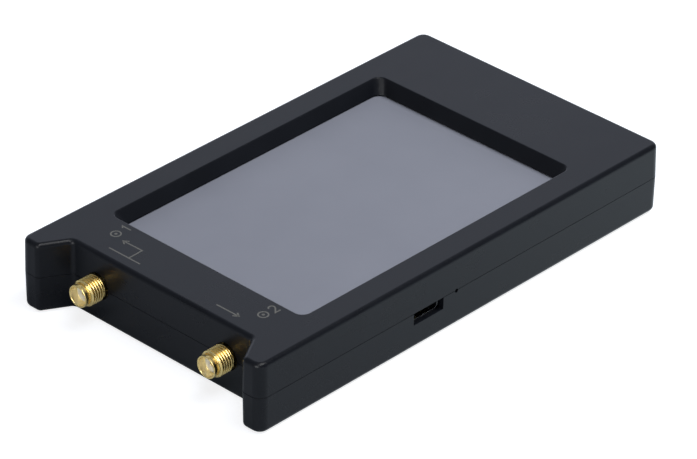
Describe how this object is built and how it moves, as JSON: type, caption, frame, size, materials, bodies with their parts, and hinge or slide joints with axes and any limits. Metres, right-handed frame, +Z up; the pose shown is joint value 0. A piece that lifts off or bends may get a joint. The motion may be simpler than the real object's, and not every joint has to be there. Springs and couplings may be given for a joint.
{
  "type": "antenna analyzer",
  "caption": "Flat handheld antenna analyzer: black moulded case with a sunken touch screen, a bay with gold SMA jacks between horns, a USB-C port, a slide switch and a jog lever.",
  "frame": {"origin": "centre of the case's flat back, at table height", "axes": "+Z up through the screen, +X along the case away from the signal jacks, -Y the long side with the charging port"},
  "size_m": [0.13, 0.0758, 0.0176],
  "materials": {
    "case_plastic": "fine moulded texture, satin black ABS",
    "screen_glass": "grey touch panel over an unlit display",
    "cell_glass": "dark display cell",
    "foam": "black foam",
    "gold": "gold plated brass",
    "brass": "turned brass",
    "ptfe": "white PTFE",
    "screw_steel": "black zinc steel",
    "tray_steel": "thin bright steel",
    "tinned_steel": "tinned steel sheet",
    "usb_steel": "nickel plated steel",
    "light_guide": "clear acrylic over a white sheet",
    "flex_film": "amber polyimide film",
    "connector_plastic": "black connector plastic",
    "socket_plastic": "natural nylon",
    "board": "green glass epoxy board",
    "chip": "black chip package",
    "ceramic": "ceramic chip parts",
    "led_lens": "clear light lens",
    "battery_foil": "aluminium laminate pouch",
    "tape_amber": "amber tape over a small board",
    "lead_rubber": "silicone lead insulation",
    "knob_plastic": "black moulded knob"
  },
  "bodies": {
    "case": {"front_shell": "case_plastic", "back_shell": "case_plastic", "case_screws": "screw_steel", "screw_inserts": "brass", "touch_panel": "screen_glass", "display_gasket": "foam", "lcd_cell": "cell_glass", "driver_chip": "chip", "backlight_tray": "tray_steel", "light_guide": "light_guide", "display_foam": "foam", "display_flex": "flex_film", "flex_connector": "connector_plastic", "main_board": "board", "processor": "chip", "rf_chips": "chip", "small_parts": "ceramic", "shield_frame": "tinned_steel", "shield_lid": "tinned_steel", "status_led": "led_lens", "sma_body_1": "gold", "sma_body_2": "gold", "sma_dielectric_1": "ptfe", "sma_dielectric_2": "ptfe", "sma_contact_1": "gold", "sma_contact_2": "gold", "usb_shell": "usb_steel", "usb_tongue": "connector_plastic", "battery_cell": "battery_foil", "battery_board": "tape_amber", "battery_tape": "foam", "battery_socket": "socket_plastic", "battery_leads": "lead_rubber", "power_switch_body": "usb_steel", "jog_switch_body": "connector_plastic"},
    "power_slider": {"power_switch_slider": "knob_plastic"},
    "jog_press_carrier": {"jog_carrier": "socket_plastic"},
    "jog_lever": {"jog_lever": "knob_plastic"}
  },
  "joints": [
    {"name": "power_slide", "type": "slide", "parent": "case", "child": "power_slider", "axis": [1, 0, 0], "range_m": [0, 0.002]},
    {"name": "jog_press", "type": "slide", "parent": "case", "child": "jog_press_carrier", "axis": [0, -1, 0], "range_m": [0, 0.0004], "stiffness_N_per_m": 2500},
    {"name": "jog_tilt", "type": "hinge", "parent": "jog_press_carrier", "child": "jog_lever", "pos_m": [0.012, 0.0328, 0.0061], "axis": [0, 0, 1], "range_deg": [-10, 10], "stiffness_Nm_per_rad": 0.03}
  ]
}
